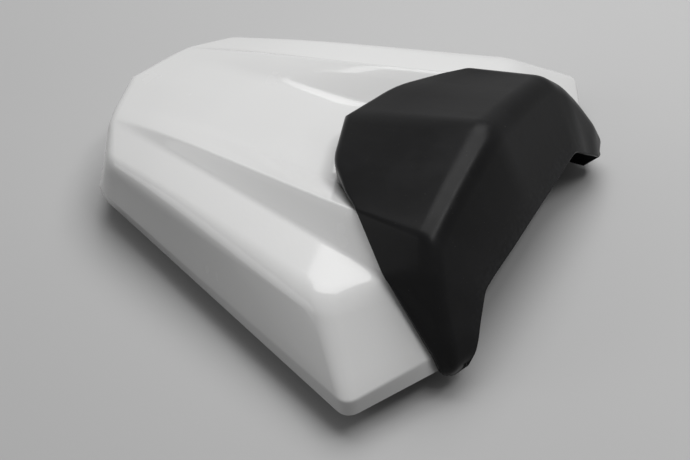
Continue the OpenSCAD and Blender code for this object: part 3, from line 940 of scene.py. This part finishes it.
class SEATCOWL_OT_striker(bpy.types.Operator):
    """Build the striker's bent rod with its plate, washers and nuts"""

    bl_idname = "seat_cowl.striker"
    bl_label = "Striker"

    def execute(self, context):
        cowl = context.scene.seat_cowl
        zinc = plated_steel("zinc_plate", cowl.colours.zinc, 0.26, ZINC_STAIN)
        rod_r = cowl.fasteners.rod_radius
        half, bend = STRIKER_W / 2, STRIKER_LOW_Z + rod_r * 1000 + STRIKER_BEND
        side = [point(half, STRIKER_Y, STRIKER_TOP_Z - 0.5), point(half, STRIKER_Y, bend)]
        bend_steps = 12
        for i in range(1, bend_steps + 1):
            a = math.radians(90 * i / bend_steps)
            inward, down = STRIKER_BEND * (1 - math.cos(a)), STRIKER_BEND * math.sin(a)
            side.append(point(half - inward, STRIKER_Y, bend - down))
        path = side + [p * (-1, 1, 1) for p in reversed(side)]
        edges = [(i, i + 1) for i in range(len(path) - 1)]
        rod_tree().grow(
            "striker_rod",
            path,
            {"Rod Radius": rod_r},
            "striker_loop",
            "zinc_steel",
            zinc,
            edges=edges,
            sharp=50,
        )
        dress_node("striker_plate", zinc)
        washer_z = TRAY_TOP + PLATE_T
        washer_tree().grow(
            "rod_washers",
            [(half, STRIKER_Y, washer_z), (-half, STRIKER_Y, washer_z)],
            {
                "Inner Radius": rod_r + WASHER_PLAY / 1000,
                "Outer Radius": rod_r * 2,
                "Thickness": WASHER_T / 1000,
            },
            "striker_washers",
            "zinc_steel",
            zinc,
        )
        nut_z = washer_z + WASHER_T
        nut_tree().grow(
            "rod_nuts",
            [(half, STRIKER_Y, nut_z), (-half, STRIKER_Y, nut_z)],
            {
                "Corner Radius": rod_r * NUT_SHARE,
                "Bore Radius": rod_r + THREAD_PLAY / 1000,
                "Height": NUT_H / 1000,
            },
            "striker_nuts",
            "zinc_steel",
            zinc,
        )
        return {"FINISHED"}


class SEATCOWL_OT_dampers(bpy.types.Operator):
    """Build the rubber dampers that the cowl stands on"""

    bl_idname = "seat_cowl.dampers"
    bl_label = "Dampers"

    def execute(self, context):
        rubber = damper_rubber(context.scene.seat_cowl.colours)
        head_z = TRAY_TOP + DAMPER_HEAD_H
        # Radius and height of each corner of the half section, with its setback and steps
        section = (
            (0, -FOOT_DROP, 0, 0),
            (DAMPER_FOOT_R, -FOOT_DROP, 0.5, 2),
            (DAMPER_FOOT_R + 1, -FOOT_DROP + 1, 0.5, 2),
            (DAMPER_R, TRAY_Z - 2, 0.8, 3),
            (DAMPER_R, TRAY_Z, 0.6, 3),
            (DAMPER_NECK_R, TRAY_Z, 0, 0),
            (DAMPER_NECK_R, TRAY_TOP, 0, 0),
            (DAMPER_NECK_R + DAMPER_LIP, TRAY_TOP + 0.05, 0.3, 2),
            (DAMPER_NECK_R - 0.3, head_z, 0.8, 3),
            (0, head_z, 0, 0),
        )
        radii, heights, setbacks, steps = zip(*section)
        profile = soften([point(*pair) for pair in zip(radii, heights)], setbacks, steps)
        for name, (x, y) in DAMPER_PLACES.items():
            points, faces = joined([lathe(profile, (side * x, y), DAMPER_SIDES) for side in (1, -1)])
            piece = name.replace("dampers", "rubbers")
            new_piece(piece, points, faces, rubber, name)
        return {"FINISHED"}


class SEATCOWL_OT_screws(bpy.types.Operator):
    """Build the screws and washers of the tray and the hood"""

    bl_idname = "seat_cowl.screws"
    bl_label = "Screws and washers"

    def execute(self, context):
        cowl = context.scene.seat_cowl
        steel = plated_steel("dark_zinc_plate", cowl.colours.dark_zinc, 0.34, DARK_ZINC_STAIN)
        shank, head = cowl.fasteners.shank_radius, cowl.fasteners.head_radius
        tray_z = TRAY_Z - WASHER_T
        tray = [(side * x, y, tray_z) for x, y, z in TRAY_FIXINGS for side in (1, -1)]
        hood = [(side * HOOD_FIXING[0], HOOD_FIXING[1], HOOD_WASHER_Z) for side in (1, -1)]
        screws, washers = screw_tree(), washer_tree()
        for name, places, length, rim in (
            ("tray", tray, TRAY_SCREW_L, TRAY_WASHER_RIM),
            ("hood", hood, HOOD_SCREW_L, HOOD_WASHER_RIM),
        ):
            sizes = {
                "Shank Radius": shank,
                "Head Radius": head,
                "Head Height": cowl.fasteners.head_height,
                "Length": length / 1000,
            }
            screws.grow(f"{name}_pan_screws", places, sizes, f"{name}_screws", "dark_screw", steel)
            sizes = {
                "Inner Radius": shank + WASHER_PLAY / 1000,
                "Outer Radius": head + rim / 1000,
                "Thickness": WASHER_T / 1000,
            }
            washers.grow(f"{name}_flat_washers", places, sizes, f"{name}_washers", "dark_screw", steel)
        return {"FINISHED"}


# The stage, in metres: the floor's radius and the distances between which it fades
FLOOR_R, FADE_START, FADE_END = 4.0, 0.24, 0.75
# Share of the floor's colour that the light which bounces off it takes
BOUNCE_SHARE = 0.2
# Each lamp's name, place, point that it faces, sizes and share of the softbox's power
LAMPS = (
    ("softbox", (0.5, 0.04, 1.05), (0.5, 0.0399, 0.0), (0.9, 0.92), 1.0),
    ("front_strip", (0.22, -0.58, 1.05), (0.22, -0.5801, 0.0), (0.7, 0.2), 0.34),
    ("tail_fill", (-0.9, 1.3, 0.8), (0, 0, 0.05), (0.8, 0.8), 0.26),
)
# The camera's place and axes, from the photo's solved view, and its lens in millimetres
CAMERA_PLACE = (-0.401808, -0.303605, 0.462052)
CAMERA_RIGHT = (0.501151, -0.859022, -0.104544)
CAMERA_UP = (0.641152, 0.28745, 0.711545)
CAMERA_BACK = (-0.581182, -0.42362, 0.694819)
LENS, SENSOR_W, CLIP_START = 64.8266, 36, 0.02


def mixed(sketch, share, first, second):
    """A shader that goes from the first to the second with the share."""
    return sketch.add("ShaderNodeMixShader", feeds={0: share, 1: first, 2: second})


def floor_finish(stage):
    """A pale floor that fades to the backdrop far away and is clear from below."""
    look = Finish("stage_floor")
    cloud = look.noise(scale=3).between(0.3, 0.7)
    pale = look.mix(cloud, stage.floor, scaled(stage.floor, 0.985))
    seen = look.background_ray()
    pale = look.mix(seen, scaled(stage.floor, BOUNCE_SHARE), pale)
    grain = look.bump(look.noise(scale=400), strength=0.02, distance=0.0004)
    lit = look.add("ShaderNodeBsdfDiffuse", feeds={"Color": pale, "Normal": grain})
    backdrop = look.add("ShaderNodeEmission", feeds={"Color": (*stage.backdrop, 1), "Strength": 1.0})
    away = look.add("ShaderNodeVectorMath", {"operation": "LENGTH"}, {0: look.place}, out="Value")
    shade = mixed(look, away.between(FADE_START, FADE_END) * seen, lit, backdrop)
    below = look.add("ShaderNodeNewGeometry", out="Backfacing")
    shade = mixed(look, below, shade, look.add("ShaderNodeBsdfTransparent"))
    look.add("ShaderNodeOutputMaterial", feeds={"Surface": shade})
    return look.material


class SEATCOWL_OT_stage(bpy.types.Operator):
    """Set up the floor, the lamps and the camera"""

    bl_idname = "seat_cowl.stage"
    bl_label = "Stage"

    def execute(self, context):
        stage = context.scene.seat_cowl.stage
        points, faces = lathe([(0, 0), (FLOOR_R, 0)], (0, 0), FLOOR_SIDES)
        mesh = bpy.data.meshes.new("floor")
        mesh.from_pydata([tuple(p) for p in points], [], [face[::-1] for face in faces])
        mesh.materials.append(floor_finish(stage))
        floor = bpy.data.objects.new("floor", mesh)
        context.scene.collection.objects.link(floor)

        for name, where, aim, size, share in LAMPS:
            lamp = bpy.data.lights.new(name, "AREA")
            lamp.shape, lamp.size, lamp.size_y = "RECTANGLE", *size
            lamp.energy = stage.softbox * share
            holder = bpy.data.objects.new(name, lamp)
            holder.location = where
            holder.rotation_euler = (Vector(aim) - Vector(where)).to_track_quat("-Z", "Y").to_euler()
            context.scene.collection.objects.link(holder)

        world = bpy.data.worlds.new("studio")
        world.use_nodes = True
        sky = Sketch(world.node_tree)
        light, backdrop = (
            sky.add("ShaderNodeBackground", feeds={"Color": (*colour, 1), "Strength": strength})
            for colour, strength in (((1, 1, 1), stage.fill), (stage.backdrop, 1.0))
        )
        surface = mixed(sky, sky.background_ray(), light, backdrop)
        sky.add("ShaderNodeOutputWorld", feeds={"Surface": surface})
        context.scene.world = world
        context.scene.view_settings.view_transform = "Standard"

        lens = bpy.data.cameras.new("view")
        lens.lens, lens.sensor_width, lens.clip_start = LENS, SENSOR_W, CLIP_START
        camera = bpy.data.objects.new("view", lens)
        turn = Matrix((CAMERA_RIGHT, CAMERA_UP, CAMERA_BACK)).transposed().to_4x4()
        camera.matrix_world = Matrix.Translation(CAMERA_PLACE) @ turn
        context.scene.collection.objects.link(camera)
        context.scene.camera = camera
        return {"FINISHED"}


class SeatCowl(bpy.types.PropertyGroup):
    """All that a user would change on the seat cowl"""

    sizes: bpy.props.PointerProperty(
        name="Sizes", description="Sizes of the mouldings", type=CowlSizes
    )
    fasteners: bpy.props.PointerProperty(
        name="Fasteners", description="Sizes of the fasteners", type=FastenerSizes
    )
    colours: bpy.props.PointerProperty(
        name="Colours", description="Colours of the finishes", type=CowlColours
    )
    stage: bpy.props.PointerProperty(
        name="Stage", description="Light and floor", type=StageSettings
    )


BUILDERS = (
    SEATCOWL_OT_shell,
    SEATCOWL_OT_hood,
    SEATCOWL_OT_tray,
    SEATCOWL_OT_striker,
    SEATCOWL_OT_dampers,
    SEATCOWL_OT_screws,
    SEATCOWL_OT_stage,
)


class SEATCOWL_PT_panel(bpy.types.Panel):
    """The seat cowl's sizes, colours and builders"""

    bl_label = "Seat cowl"
    bl_idname = "SEATCOWL_PT_panel"
    bl_space_type = "VIEW_3D"
    bl_region_type = "UI"
    bl_category = "Seat cowl"

    def draw(self, context):
        cowl = context.scene.seat_cowl
        for group in (cowl.sizes, cowl.fasteners, cowl.colours, cowl.stage):
            box = self.layout.box()
            for key in group.bl_rna.properties.keys():
                if key not in {"rna_type", "name"}:
                    box.prop(group, key)
        for builder in BUILDERS:
            self.layout.operator(builder.bl_idname)


CLASSES = (
    CowlSizes,
    FastenerSizes,
    CowlColours,
    StageSettings,
    SeatCowl,
    *BUILDERS,
    SEATCOWL_PT_panel,
)


def register():
    """Registers the classes and hangs the settings on the scene."""
    for item in CLASSES:
        bpy.utils.register_class(item)
    bpy.types.Scene.seat_cowl = bpy.props.PointerProperty(type=SeatCowl)


def unregister():
    """Undoes what register does."""
    del bpy.types.Scene.seat_cowl
    for item in reversed(CLASSES):
        bpy.utils.unregister_class(item)


def main():
    """Builds every piece and the stage."""
    register()
    bpy.ops.seat_cowl.shell()
    bpy.ops.seat_cowl.hood()
    bpy.ops.seat_cowl.tray()
    bpy.ops.seat_cowl.striker()
    bpy.ops.seat_cowl.dampers()
    bpy.ops.seat_cowl.screws()
    bpy.ops.seat_cowl.stage()
    bpy.context.view_layer.update()


if __name__ == "__main__":
    main()
